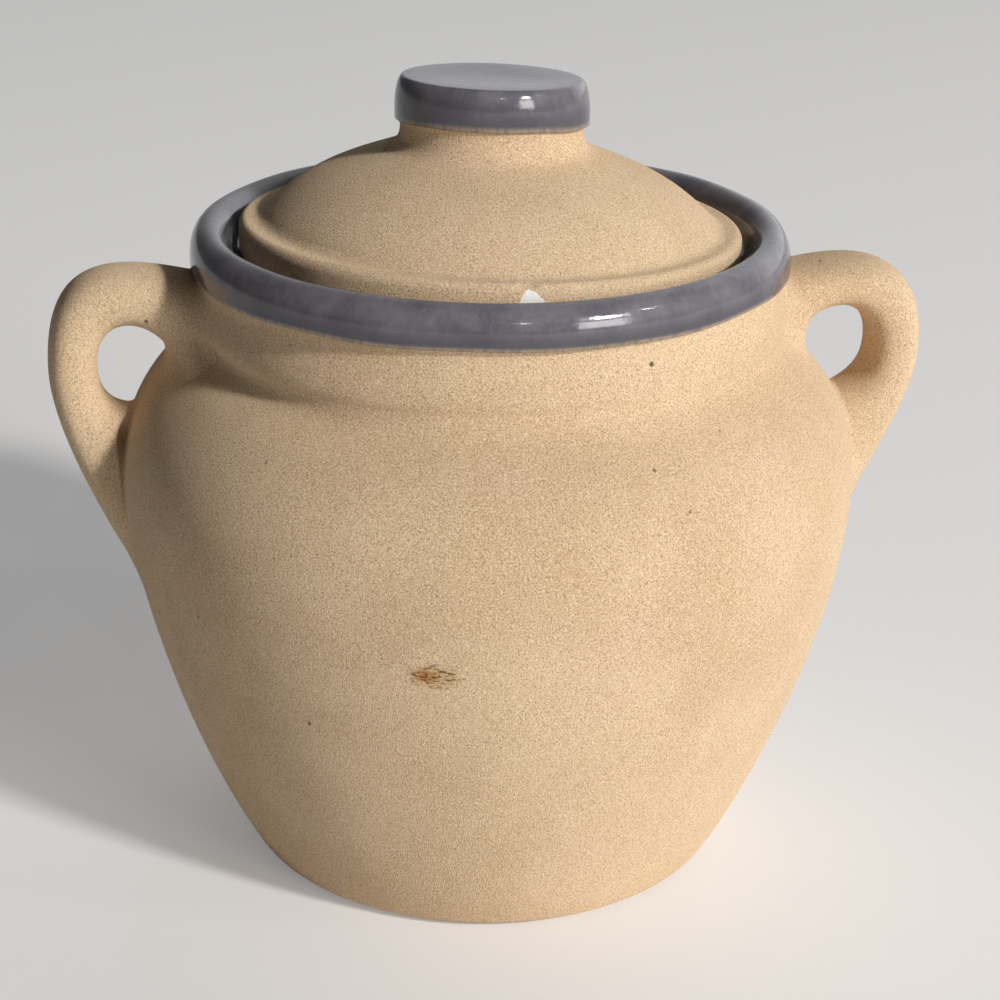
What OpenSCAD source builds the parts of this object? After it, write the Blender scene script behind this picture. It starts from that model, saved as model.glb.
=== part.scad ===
// Small two-handled stoneware crock with a loose lid set into its rim.
// Bare sandy clay outside, with a glossy glaze on the rim, on the inside and on the lid's knob.
// Millimetres. Z is up, the foot stands on Z = 0, the crock's axis is the Z axis, the handles lie along X.

/* [Crock] */
// Height of the crock to the crown of its glazed rim
crock_h = 98; // [92:1:115]
// Diameter of the flat foot
foot_d = 67.5; // [54:0.5:76]
// Rounding of the foot's edge
foot_round = 4; // [1:0.5:6]
// Lean of the wall just above the foot, in degrees from upright
foot_lean = 33; // [15:1:45]
// Diameter of the belly at its widest
belly_d = 110; // [100:1:130]
// Height of the belly's widest line
belly_z = 60; // [52:1:68]
// How long the wall keeps its lean above the foot, as a share of the belly's height
foot_fullness = 0.17; // [0.08:0.01:0.4]
// How long the wall stays upright under the belly's widest line, as a share of the belly's height
belly_fullness = 0.29; // [0.1:0.01:0.5]
// How long the shoulder stays upright over the belly's widest line, as a share of the shoulder's height
shoulder_fullness = 0.72; // [0.3:0.01:0.75]
// How long the neck stays upright under its narrowest line, as a share of the shoulder's height
neck_fullness = 0.19; // [0.1:0.01:0.5]
// Thickness of the pot's wall
wall_t = 5.5; // [4:0.1:8]
// Thickness of the floor
floor_t = 6; // [4:0.1:10]
// Rounding between floor and wall, inside
floor_round = 6; // [3:0.5:10]

/* [Rim] */
// Outer diameter of the glazed rim
rim_d = 88; // [80:1:98]
// Width of the glazed rim from outside to inside
rim_w = 5.8; // [4.5:0.1:8]
// Height of the rim's crown over its widest line
rim_rise = 4.2; // [3:0.1:6]
// How far the neck lies inside the rim's edge
neck_in = 0.8; // [0.6:0.1:3]
// Height of the rim's widest line over the narrowest line of the neck
neck_drop = 10.8; // [6:0.1:12]
// Thickness of every coat of glaze
glaze_t = 0.5; // [0.3:0.05:0.8]
// How far the rim's glaze runs down below the widest line
glaze_drop = 1.3; // [0.3:0.1:2]
// Depth of the lid's ledge below the rim's widest line
ledge_drop = 0.4; // [0.2:0.1:3]
// Thickness of the ledge at its inner edge
ledge_t = 3.2; // [2:0.1:5]
// Rounding of the ledge's inner edge
ledge_round = 0.6; // [0.3:0.1:1]

/* [Lid] */
// Free gap around the lid inside the rim
lid_gap = 1.45; // [0.8:0.05:3]
// Width of the ledge that the lid lies on
seat_w = 4.2; // [2.5:0.1:6]
// Thickness of the lid's flange
flange_t = 4.6; // [3:0.1:7]
// Width of the flange outside the dome
flange_w = 3.1; // [2:0.1:6]
// Rounding of the flange's edges
flange_round = 1.2; // [0.5:0.1:1.4]
// Height of the dome over the flange
dome_h = 10.8; // [6:0.1:18]
// Slope of the dome at the flange, in degrees
dome_start_slope = 48; // [30:1:60]
// Slope of the dome under the knob, in degrees
dome_end_slope = 22; // [5:1:30]
// Thickness of the dome
lid_t = 5; // [3.5:0.1:7]

/* [Knob] */
// Diameter of the glazed knob
knob_d = 28.2; // [22:0.2:34]
// Height of the knob's glazed disc
knob_h = 6.3; // [5:0.1:9]
// Height of the bare stem between the dome and the glaze
stem_h = 4; // [3.5:0.1:10]
// How far the stem's waist lies inside the glazed edge
stem_in = 0.8; // [0.6:0.1:3]
// How far the stem's foot spreads over the dome
stem_flare = 1.6; // [0.5:0.1:4]
// How far the knob's side comes in where it rounds over to the top
knob_edge_w = 1.3; // [1:0.1:3]
// How far down the knob's side that rounding reaches
knob_edge_h = 4.7; // [1.2:0.1:4.8]
// Depth of the shallow dish in the knob's top
knob_dish = 0.4; // [0.1:0.1:1]

/* [Handles] */
// How far each handle stands out past the belly
handle_out = 10.3; // [8:0.1:16]
// Thickness of the strap at its outermost point
handle_t = 7.1; // [5:0.1:9]
// Width of the strap, along the crock's wall
handle_w = 12; // [8:0.1:16]
// How far the strap widens at its upper root, as a share
upper_flare = 0.35; // [0:0.05:0.6]
// How far the strap widens at its lower root, as a share
lower_flare = 0.3; // [0:0.05:0.8]
// Depth of the handle's upper root below the glaze, at its top
root_gap = 3; // [2:0.1:5]
// Height of the upper root, from its top down to the loop
root_h = 11.5; // [10:0.1:14]
// How far the handle's top runs out before it bends
top_run = 13.5; // [8:0.1:16]
// How far the handle's top lifts as it runs out
top_lift = 3.6; // [0:0.1:4.5]
// Height of the upper root's top over the handle's outermost point
bend_h = 12; // [11:0.1:16]
// How far the outer line pulls up over the outermost point before it bends in
bend_pull = 17; // [12:0.1:18]
// How far the outer line runs down from the outermost point before it bends in
fall_pull = 7.5; // [4:0.1:10]
// Depth of the lower root's end below the belly's widest line
tail_drop = 14.5; // [10:0.1:18]
// How far the outer line pulls out before it comes in to the lower root
tail_out = 8; // [4:0.1:10]
// How far the outer line pulls up before it comes in to the lower root
tail_up = 15; // [10:0.1:18]
// How far the loop's upper corner lies outside the neck's narrowest line
loop_in = 1.8; // [1:0.1:3]
// How far the loop pulls out from its upper corner
loop_run = 2.8; // [1:0.1:5]
// How far the loop pulls up from its upper corner
loop_lift = 8.2; // [4:0.1:9]
// How far the loop pulls up over its outermost point
loop_pull = 8.6; // [5:0.1:9]
// How far the loop runs down from its outermost point
loop_fall = 3.5; // [2:0.1:6]
// Height of the loop's lower corner over the belly's widest line
loop_up = 11.2; // [8:0.1:14]
// How far the loop's lower corner pulls out from the belly
loop_out = 5; // [2:0.1:7]

/* [Hidden] */

clay = "#d5b88c";
glaze = "#6b6b80";

// Steps along a long curve, along a short one and along an arc
long_steps = 18;
short_steps = 8;
arc_steps = 10;
$fn = 96;

// Radii and heights of the crock
foot_r = foot_d / 2;
belly_r = belly_d / 2;
rim_r = rim_d / 2;
rim_z = crock_h - rim_rise;
crown_r = rim_r - rim_w / 2;
neck_r = rim_r - neck_in;
neck_z = rim_z - neck_drop;
glaze_low_z = rim_z - glaze_drop;
ledge_z = rim_z - ledge_drop;
shoulder_h = neck_z - belly_z;

// Half sizes of the rim's section, over the glaze and over its clay core
rim_half = [rim_w / 2, rim_rise];
core_half = rim_half - [glaze_t, glaze_t];

// Radii of the lid and its seat
mouth_r = rim_r - rim_w;
flange_r = mouth_r - lid_gap;
throat_r = flange_r - seat_w;
crease_r = flange_r - flange_w;

// Heights of the lid and its knob
flange_z = ledge_z + flange_t;
dome_z = flange_z + dome_h;
knob_low_z = dome_z + stem_h;
knob_z = knob_low_z + knob_h;

// Radii of the knob
knob_r = knob_d / 2;
stem_r = knob_r - stem_in;
stem_foot_r = stem_r + stem_flare;

// Point on a cubic curve, and the curve's direction there
function cubic(c, t) =
    pow(1 - t, 3) * c[0] + 3 * t * pow(1 - t, 2) * c[1] + 3 * t * t * (1 - t) * c[2] + pow(t, 3) * c[3];
function cubic_way(c, t) =
    pow(1 - t, 2) * (c[1] - c[0]) + 2 * t * (1 - t) * (c[2] - c[1]) + t * t * (c[3] - c[2]);

// Point at a distance to the left of a cubic curve
function beside(c, t, distance) =
    let (way = cubic_way(c, t))
    cubic(c, t) + distance / norm(way) * [-way[1], way[0]];

// Points along a cubic curve, moved to its left; the first one can be left out
function along(c, steps, distance = 0, first = 0) =
    [for (i = [first:steps]) beside(c, i / steps, distance)];

// Points along an ellipse from one angle to another
function ellipse_arc(centre, half, from, to, steps) =
    [for (i = [0:steps])
        let (a = from + (to - from) * i / steps)
        centre + [half[0] * cos(a), half[1] * sin(a)]];

function backwards(points) = [for (i = [len(points) - 1:-1:0]) points[i]];

// Outline of the crock: the wall leaves the foot's rounding at its lean, and is upright at the belly and neck
wall_way = [sin(foot_lean), cos(foot_lean)];
wall_start = [foot_r + foot_round * cos(foot_lean), foot_round * (1 - sin(foot_lean))];
lower_wall = [
    wall_start,
    wall_start + foot_fullness * belly_z * wall_way / wall_way[1],
    [belly_r, belly_z * (1 - belly_fullness)],
    [belly_r, belly_z]
];
upper_wall = [
    [belly_r, belly_z],
    [belly_r, belly_z + shoulder_fullness * shoulder_h],
    [neck_r, neck_z - neck_fullness * shoulder_h],
    [neck_r, neck_z]
];

// Angles on the rim's section where the glaze ends below the widest line
rim_low_angle = -asin(glaze_drop / rim_half[1]);
core_low_angle = -asin(glaze_drop / core_half[1]);

foot_edge = ellipse_arc([foot_r, foot_round], [foot_round, foot_round], -90, -foot_lean, short_steps);
outer_wall = concat(foot_edge, along(lower_wall, long_steps, 0, 1), along(upper_wall, long_steps, 0, 1));
rim_core = ellipse_arc([crown_r, rim_z], core_half, core_low_angle, 180, arc_steps * 2);

// Outline of the hollow, from the middle of the floor to the throat, drawn in by a coat's thickness
function hollow(coat) =
    let (
        depth = wall_t + coat,
        floor_z = floor_t + coat,
        lower = [for (p = along(lower_wall, long_steps, depth)) if (p[1] > floor_z + floor_round) p],
        upper = along(upper_wall, long_steps, depth, 1),
        wall_foot = lower[0],
        wall_lean = lower[1] - lower[0],
        pull = floor_round / 2,
        corner = [
            [wall_foot[0] - floor_round, floor_z],
            [wall_foot[0] - floor_round + pull, floor_z],
            wall_foot - pull * wall_lean / norm(wall_lean),
            wall_foot
        ],
        ledge_low_z = ledge_z - ledge_t,
        turn_z = (neck_z + ledge_low_z) / 2,
        under_ledge = [
            [neck_r - depth, neck_z],
            [neck_r - depth, turn_z],
            [throat_r - coat, turn_z],
            [throat_r - coat, ledge_low_z]
        ]
    )
    concat(
        [[0, floor_z]],
        along(corner, short_steps),
        [for (i = [1:len(lower) - 1]) lower[i]],
        upper,
        along(under_ledge, short_steps, 0, 1),
        [[throat_r - coat, ledge_z - ledge_round]]
    );

// Thrown pot with the rim's clay core and the ledge that the lid lies on
module crock_body() {
    inside = hollow(0);
    ledge_edge = ellipse_arc([throat_r + ledge_round, ledge_z - ledge_round],
        [ledge_round, ledge_round], 90, 180, short_steps);
    color(clay) rotate_extrude()
        polygon(concat(
            [[0, 0]],
            outer_wall,
            rim_core,
            [[mouth_r + glaze_t, ledge_z]],
            ledge_edge,
            backwards([for (i = [0:len(inside) - 2]) inside[i]])
        ));
}

// Solid inside the crock's outside, which the handles' roots are cut to
module crock_envelope() {
    rotate_extrude()
        polygon(concat([[0, 0]], outer_wall, [rim_core[0], [0, glaze_low_z]]));
}

// Coat over the rim, from its lower edge outside over the crown to the ledge inside
module rim_glaze() {
    over = ellipse_arc([crown_r, rim_z], rim_half, rim_low_angle, 180, arc_steps * 2);
    color(glaze) rotate_extrude()
        polygon(concat(
            over,
            [[mouth_r, ledge_z], [mouth_r + glaze_t, ledge_z]],
            backwards(rim_core)
        ));
}

// Coat on the inside, from the floor to the throat
module inner_glaze() {
    color(glaze) rotate_extrude()
        polygon(concat(hollow(0), backwards(hollow(glaze_t))));
}

// Outer line of the handle, in the plane of its loop: out from the neck, over, and down to the belly
root_z = glaze_low_z - root_gap;
far_r = belly_r + handle_out;
far_z = root_z - bend_h;
root_sink = wall_t / 2; // its ends start inside the wall, and are then cut to the crock's outside
handle_root = [neck_r - root_sink, root_z];
handle_tail = [belly_r - root_sink, belly_z - tail_drop];
outer_upper = [
    handle_root,
    handle_root + [top_run, top_lift],
    [far_r, far_z + bend_pull],
    [far_r, far_z]
];
outer_lower = [
    [far_r, far_z],
    [far_r, far_z - fall_pull],
    handle_tail + [tail_out, tail_up],
    handle_tail
];

// Line of the loop that the handle leaves open, from the shoulder up, over, and down to the belly
loop_start = [neck_r + loop_in, root_z - root_h];
loop_end = [belly_r - root_sink, belly_z + loop_up];
loop_r = far_r - handle_t;
loop_upper = [
    loop_start,
    loop_start + [loop_run, loop_lift],
    [loop_r, far_z + loop_pull],
    [loop_r, far_z]
];
loop_lower = [
    [loop_r, far_z],
    [loop_r, far_z - loop_fall],
    loop_end + [loop_out, 0],
    loop_end
];

// Strap's section: a rounded oval, as a share of its half sizes
strap_sides = 24;
strap_power = 2.5;
function rounded(v) = sign(v) * pow(abs(v), 2 / strap_power);
strap_section = [for (i = [0:strap_sides - 1])
    let (a = 360 * i / strap_sides)
    [rounded(cos(a)), rounded(sin(a))]];

// One ring of the strap between a point of its outer line and one of its loop
function strap_ring(outer, loop, width) =
    let (
        middle = (outer + loop) / 2,
        half = (outer - loop) / 2
    )
    [for (s = strap_section)
        [middle[0] + s[0] * half[0], s[1] * width / 2, middle[1] + s[0] * half[1]]];

// Solid through a row of rings
module loft(rings) {
    sides = len(rings[0]);
    last = len(rings) - 1;
    polyhedron(
        [for (ring = rings) for (p = ring) p],
        concat(
            [[for (j = [0:sides - 1]) j]],
            [for (i = [0:last - 1]) for (j = [0:sides - 1])
                let (k = (j + 1) % sides)
                each [
                    [i * sides + j, (i + 1) * sides + j, (i + 1) * sides + k],
                    [i * sides + j, (i + 1) * sides + k, i * sides + k]
                ]],
            [[for (j = [sides - 1:-1:0]) last * sides + j]]
        )
    );
}

// Width of the strap, which flares most at the root itself
function strap_width(flare, nearness) = handle_w * (1 + flare * pow(nearness, 3));

// Pulled strap handle on the +X side, cut to the crock's outside where it is luted on
module strap_handle() {
    rings = concat(
        [for (i = [0:long_steps])
            let (t = i / long_steps)
            strap_ring(cubic(outer_upper, t), cubic(loop_upper, t), strap_width(upper_flare, 1 - t))],
        [for (i = [1:long_steps])
            let (t = i / long_steps)
            strap_ring(cubic(outer_lower, t), cubic(loop_lower, t), strap_width(lower_flare, t))]
    );
    difference() {
        loft(rings);
        crock_envelope();
    }
}

module right_handle() {
    color(clay) strap_handle();
}

module left_handle() {
    color(clay) mirror([1, 0, 0]) strap_handle();
}

// Outline of the dome, from the flange to the knob's foot
dome_reach = (crease_r - stem_foot_r) / 3;
dome = [
    [crease_r, flange_z],
    [crease_r - dome_reach, flange_z + dome_reach * tan(dome_start_slope)],
    [stem_foot_r + dome_reach, dome_z - dome_reach * tan(dome_end_slope)],
    [stem_foot_r, dome_z]
];

// Thrown lid: flat flange that lies on the ledge, and a dome that is hollow underneath
module lid() {
    under = [for (p = along(dome, long_steps, lid_t)) if (p[1] > ledge_z) p];
    edge_r = flange_r - flange_round;
    edge_half = [flange_round, flange_round];
    low_edge = ellipse_arc([edge_r, ledge_z + flange_round], edge_half, -90, 0, short_steps);
    top_edge = ellipse_arc([edge_r, flange_z - flange_round], edge_half, 0, 90, short_steps);
    color(clay) rotate_extrude()
        polygon(concat(
            [[under[0][0], ledge_z]],
            low_edge,
            top_edge,
            along(dome, long_steps),
            [[0, dome_z], [0, under[len(under) - 1][1]]],
            backwards(under)
        ));
}

// Outline of the knob's upper edge and dished top, drawn in by a coat's thickness
function knob_top(coat) =
    let (
        edge_half = [knob_edge_w - coat, knob_edge_h - coat],
        top_r = knob_r - knob_edge_w,
        top_z = knob_z - coat
    )
    concat(
        ellipse_arc([top_r, knob_z - knob_edge_h], edge_half, 0, 90, arc_steps),
        [for (i = [1:arc_steps])
            let (share = 1 - i / arc_steps)
            [top_r * share, top_z - knob_dish * (1 - share * share) * (1 - share * share)]]
    );

// How the stem's outline runs from its foot to its waist, as shares of its flare and its height
flare_pull = 0.25;
flare_rise = 0.17;
waist_start = 0.33;
waist_end = 0.8;

// Bare stem and clay core of the knob
module lid_knob() {
    stem_foot = [
        [stem_foot_r, dome_z],
        [stem_r + flare_pull * stem_flare, dome_z + flare_rise * stem_h],
        [stem_r, dome_z + waist_start * stem_h],
        [stem_r, dome_z + waist_end * stem_h]
    ];
    color(clay) rotate_extrude()
        polygon(concat(
            [[0, dome_z]],
            along(stem_foot, arc_steps),
            [[knob_r - glaze_t, knob_low_z]],
            knob_top(glaze_t)
        ));
}

// Coat over the knob's side and top
module knob_glaze() {
    color(glaze) rotate_extrude()
        polygon(concat(
            [[knob_r, knob_low_z]],
            knob_top(0),
            backwards(knob_top(glaze_t)),
            [[knob_r - glaze_t, knob_low_z]]
        ));
}

crock_body();
left_handle();
right_handle();
rim_glaze();
inner_glaze();
lid();
lid_knob();
knob_glaze();
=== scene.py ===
"""Looks of a small two-handled stoneware crock with a loose lid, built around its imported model.

Every piece is modelled again as a fine mesh on the same outlines, with luted handle roots, a rolled
edge on each coat of glaze and the small marks of use. Shapes are worked out in millimetres."""

import math

import bmesh
import bpy
import numpy as np
from mathutils import Matrix, Vector


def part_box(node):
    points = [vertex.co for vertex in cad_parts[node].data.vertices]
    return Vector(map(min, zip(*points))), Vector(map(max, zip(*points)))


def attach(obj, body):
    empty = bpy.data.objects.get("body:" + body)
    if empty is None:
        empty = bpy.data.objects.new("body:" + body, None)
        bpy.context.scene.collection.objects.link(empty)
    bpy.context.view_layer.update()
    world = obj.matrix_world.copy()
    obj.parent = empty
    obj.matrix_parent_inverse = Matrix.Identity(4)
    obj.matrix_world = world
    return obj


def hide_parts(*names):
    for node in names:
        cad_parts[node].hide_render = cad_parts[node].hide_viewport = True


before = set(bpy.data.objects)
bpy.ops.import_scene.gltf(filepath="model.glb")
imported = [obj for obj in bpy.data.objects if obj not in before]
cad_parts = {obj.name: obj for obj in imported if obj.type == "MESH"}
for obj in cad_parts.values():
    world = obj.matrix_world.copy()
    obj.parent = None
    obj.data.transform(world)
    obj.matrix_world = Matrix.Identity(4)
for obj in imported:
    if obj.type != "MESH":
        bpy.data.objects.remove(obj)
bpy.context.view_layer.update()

MM = 0.001
FULL_TURN = 2 * math.pi
TINY = 1e-6


def extent(node):
    """Lowest and highest corner of a CAD node, in millimetres."""
    low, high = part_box(node)
    return np.array(low) / MM, np.array(high) / MM


# Sizes that the frame gives
belly_r = extent("crock_body")[1][0]
rim_low, rim_high = extent("rim_glaze")
rim_r = rim_high[0]
crown_z = rim_high[2]
glaze_low_z = rim_low[2]
lid_low, lid_high = extent("lid")
flange_r = lid_high[0]
ledge_z = lid_low[2]
dome_z = lid_high[2]
stem_foot_r = extent("lid_knob")[1][0]
knob_low, knob_high = extent("knob_glaze")
knob_r = knob_high[0]
knob_low_z = knob_low[2]
knob_z = knob_high[2]
far_r = extent("right_handle")[1][0]

# Sizes of the crock that the frame's boxes don't give
foot_r = 33.75
foot_round = 4.0
foot_lean = math.radians(33)
belly_z = 60.0
foot_fullness = 0.17
belly_fullness = 0.29
shoulder_fullness = 0.72
neck_fullness = 0.19
wall_t = 5.5
floor_t = 6.0
floor_round = 6.0

# Sizes of the rim and the lid's ledge
rim_w = 5.8
rim_rise = 4.2
neck_in = 0.8
neck_drop = 10.8
collar_swell = 1.3
rim_undercut = 2.0
glaze_t = 0.5
ledge_t = 3.2
ledge_round = 0.6
seat_w = 4.2

# Groove under the neck: its place below it, its section, and how it fades round the crock
groove_drop = 2.4
groove_slant = 2.2
groove_depth = 1.3
groove_w = 2.1
groove_turn = math.radians(-140)
groove_spread = 4

# Sizes of the lid and its knob
flange_t = 4.6
flange_w = 3.1
flange_round = 1.2
dome_start_slope = math.tan(math.radians(48))
dome_end_slope = math.tan(math.radians(22))
lid_t = 5.0
stem_in = 0.8
knob_edge_w = 1.3
knob_edge_h = 4.7
knob_dish = 0.4

# Places that follow from them
rim_z = crown_z - rim_rise
crown_r = rim_r - rim_w / 2
neck_r = rim_r - neck_in
neck_z = rim_z - neck_drop
mouth_r = rim_r - rim_w
throat_r = flange_r - seat_w
crease_r = flange_r - flange_w
flange_z = ledge_z + flange_t
stem_r = knob_r - stem_in
stem_h = knob_low_z - dome_z
shoulder_h = neck_z - belly_z


# Curves in the plane of an outline

def unit(vectors):
    """Vectors brought to length 1."""
    return vectors / np.linalg.norm(vectors, axis=-1)[..., None]


def cubic(t, a, b, c, d):
    """Place on a cubic curve at a share of its way."""
    return (1 - t) ** 3 * a + 3 * t * (1 - t) ** 2 * b + 3 * t * t * (1 - t) * c + t ** 3 * d


def bezier(a, b, c, d, steps):
    """Points along a cubic curve."""
    t = np.linspace(0, 1, steps + 1)[:, None]
    return cubic(t, *(np.array(p, float) for p in (a, b, c, d)))


def arc(centre, half, start, end, steps):
    """Points along an ellipse between two angles in degrees."""
    a = np.radians(np.linspace(start, end, steps + 1))
    return np.c_[centre[0] + half[0] * np.cos(a), centre[1] + half[1] * np.sin(a)]


def straight(a, b, steps):
    """Points along a straight line."""
    return np.linspace(a, b, steps + 1)


def beside(line, distance):
    """A line moved to its own left."""
    way = unit(np.gradient(line, axis=0))
    return line + distance * np.c_[-way[:, 1], way[:, 0]]


def joined(*lines):
    """One outline out of several, without the points that repeat."""
    points = np.concatenate([np.array(line, float).reshape(-1, 2) for line in lines])
    step = np.linalg.norm(np.diff(points, axis=0), axis=1)
    return points[np.r_[True, step > TINY]]


def waves(seed, count, around, length, size):
    """Smooth unevenness of about a size, round the axis and along a length."""
    rng = np.random.default_rng(seed)
    turns = rng.integers(1, around + 1, count)
    climbs = rng.uniform(-1, 1, count) * FULL_TURN / length
    starts = rng.uniform(0, FULL_TURN, count)

    def at(turn, along):
        total = sum(np.cos(k * turn + m * along + s) for k, m, s in zip(turns, climbs, starts))
        return size * total / math.sqrt(count)

    return at


# Outside of the crock, which the handles' roots flow into
foot_edge_start = (foot_r + foot_round * math.cos(foot_lean), foot_round * (1 - math.sin(foot_lean)))
lean_run = foot_fullness * belly_z
lower_wall = bezier(
    foot_edge_start,
    (foot_edge_start[0] + lean_run * math.tan(foot_lean), foot_edge_start[1] + lean_run),
    (belly_r, belly_z * (1 - belly_fullness)),
    (belly_r, belly_z), 72)
upper_wall = bezier(
    (belly_r, belly_z),
    (belly_r, belly_z + shoulder_fullness * shoulder_h),
    (neck_r, neck_z - neck_fullness * shoulder_h),
    (neck_r, neck_z), 56)
core_half = (rim_w / 2 - glaze_t, rim_rise - glaze_t)
glaze_drop = rim_z - glaze_low_z
core_low_angle = -math.degrees(math.asin(glaze_drop / core_half[1]))
rim_core = arc((crown_r, rim_z), core_half, core_low_angle, 180, 32)
neck_rise = (rim_core[0, 1] - neck_z) / 3
neck = bezier(
    (neck_r, neck_z), (neck_r + collar_swell, neck_z + neck_rise),
    rim_core[0] - (rim_undercut, neck_rise), rim_core[0], 20)
outer_wall = joined(lower_wall, upper_wall, neck)
wall_uneven = waves(seed=11, count=9, around=4, length=45, size=0.14)
WALL_FADE = 6.0


def neck_groove(turn, z):
    """Depth of the groove under the neck, which is deepest at the left and fades out round the crock."""
    around = (0.5 + 0.5 * np.cos(turn - groove_turn)) ** groove_spread
    middle = neck_z - groove_drop - groove_slant * np.sin(turn - groove_turn)
    return groove_depth * around * np.exp(-((z - middle) / groove_w) ** 2)


def wall_radius(turn, z):
    """Radius of the crock's outside, a little uneven between foot and neck."""
    above_foot = np.clip((z - outer_wall[0, 1]) / WALL_FADE, 0, 1)
    below_rim = np.clip((glaze_low_z - z) / WALL_FADE, 0, 1)
    plain = np.interp(z, outer_wall[:, 1], outer_wall[:, 0])
    return plain + above_foot * below_rim * wall_uneven(turn, z) - neck_groove(turn, z)


def hollow(coat):
    """Outline of the inside, from the middle of the floor to the throat, drawn in by a coat."""
    floor_z = floor_t + coat
    wall = beside(joined(lower_wall, upper_wall), wall_t + coat)
    wall = wall[wall[:, 1] > floor_z + floor_round]
    way = wall[1] - wall[0]
    pull = floor_round / 2
    corner = bezier(
        (wall[0, 0] - floor_round, floor_z),
        (wall[0, 0] - floor_round + pull, floor_z),
        wall[0] - pull * way / np.linalg.norm(way),
        wall[0], 10)
    low_z = ledge_z - ledge_t
    turn_z = (neck_z + low_z) / 2
    neck_in_r = neck_r - wall_t - coat
    hole_r = throat_r - coat
    under_ledge = bezier((neck_in_r, neck_z), (neck_in_r, turn_z), (hole_r, turn_z), (hole_r, low_z), 14)
    return joined(
        straight((0, floor_z), corner[0], 14), corner, wall[:-1], under_ledge,
        straight(under_ledge[-1], (hole_r, ledge_z - ledge_round), 3))


# Meshes

def tube_faces(rows, sides, loop):
    """Quads between the rows of a grid whose columns go round."""
    faces = []
    for i in range(rows if loop else rows - 1):
        a, b = i * sides, (i + 1) % rows * sides
        faces += [(a + j, a + (j + 1) % sides, b + (j + 1) % sides, b + j) for j in range(sides)]
    return faces


def fan_faces(row, sides, pole):
    """Triangles between one row of a grid and a single point."""
    first = row * sides
    return [(first + j, first + (j + 1) % sides, pole) for j in range(sides)]


def lathe(outline, sides, shape=None):
    """Vertices and faces of an outline turned round the axis. It is closed, or its ends lie on the axis."""
    loop = outline[0, 0] > TINY
    rings = outline if loop else outline[1:-1]
    turn = np.arange(sides) * FULL_TURN / sides
    r = np.repeat(rings[:, :1], sides, 1)
    z = np.repeat(rings[:, 1:], sides, 1)
    if shape:
        r, z = shape(r, z, np.repeat(turn[None], len(rings), 0))
    grid = np.stack([r * np.cos(turn), r * np.sin(turn), z], -1).reshape(-1, 3)
    faces = tube_faces(len(rings), sides, loop)
    if not loop:
        grid = np.r_[grid, [[0, 0, outline[0, 1]], [0, 0, outline[-1, 1]]]]
        faces += fan_faces(0, sides, len(grid) - 2) + fan_faces(len(rings) - 1, sides, len(grid) - 1)
    return grid, faces


def piece(name, vertices, faces, node, body, slot, material):
    """A smooth mesh that stands for a CAD node and rides on its body."""
    mesh = bpy.data.meshes.new(name)
    mesh.from_pydata((np.array(vertices) * MM).tolist(), [], faces)
    form = bmesh.new()
    form.from_mesh(mesh)
    bmesh.ops.recalc_face_normals(form, faces=form.faces)
    form.to_mesh(mesh)
    form.free()
    mesh.shade_smooth()
    mesh.materials.append(material)
    made = bpy.data.objects.new(name, mesh)
    bpy.context.scene.collection.objects.link(made)
    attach(made, body)
    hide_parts(node)
    return made


def mark(made, name, amounts):
    """Writes an amount at each vertex, for the glaze's material."""
    layer = made.data.attributes.new(name, "FLOAT", "POINT")
    layer.data.foreach_set("value", np.array(amounts, np.float32).ravel())


# Material nodes

def add(tree, kind, inputs=None, **settings):
    """A node with its settings, and with its inputs set or linked."""
    made = tree.nodes.new(kind)
    for name, value in settings.items():
        setattr(made, name, value)
    for name, value in (inputs or {}).items():
        if isinstance(value, bpy.types.NodeSocket):
            tree.links.new(value, made.inputs[name])
        else:
            made.inputs[name].default_value = value
    return made


def maths(tree, operation, a, b=0.0):
    """Result of a sum of two numbers or sockets."""
    return add(tree, "ShaderNodeMath", {0: a, 1: b}, operation=operation).outputs[0]


def vector(tree, operation, a, b=(0, 0, 0), result="Vector"):
    """Result of a sum of vectors, which is a vector or a value."""
    return add(tree, "ShaderNodeVectorMath", {0: a, 1: b}, operation=operation).outputs[result]


def blended(tree, factor, a, b):
    """Mix of two colours."""
    return add(tree, "ShaderNodeMix", {0: factor, 6: a, 7: b}, data_type="RGBA").outputs[2]


def noise(tree, place, scale, detail=2.0, roughness=0.5):
    """Cloudy noise, with so many waves to the millimetre."""
    inputs = {"Vector": place, "Scale": scale, "Detail": detail, "Roughness": roughness}
    return add(tree, "ShaderNodeTexNoise", inputs).outputs["Fac"]


def stretched(tree, value, low, high, bottom=0.0, top=1.0):
    """A value taken from one range to another, smoothly and without going past its ends."""
    inputs = {"Value": value, "From Min": low, "From Max": high, "To Min": bottom, "To Max": top}
    return add(tree, "ShaderNodeMapRange", inputs, interpolation_type="SMOOTHSTEP").outputs["Result"]


def bumped(tree, shader, height, strength, depth):
    """Gives a shader fine relief of a depth in millimetres."""
    bump = add(tree, "ShaderNodeBump", {"Height": height, "Strength": strength, "Distance": depth * MM})
    tree.links.new(bump.outputs["Normal"], shader.inputs["Normal"])


def new_material(name, **constants):
    """A material, its shader with the constants set on its own sockets, and a place in millimetres."""
    material = bpy.data.materials.new(name)
    material.use_nodes = True
    tree = material.node_tree
    shader = tree.nodes["Principled BSDF"]
    for socket, value in constants.items():
        shader.inputs[socket.replace("_", " ")].default_value = value
    where = add(tree, "ShaderNodeTexCoord").outputs["Object"]
    scaled = add(tree, "ShaderNodeVectorMath", {0: where, "Scale": 1 / MM}, operation="SCALE")
    return material, tree, shader, scaled.outputs[0]


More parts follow.
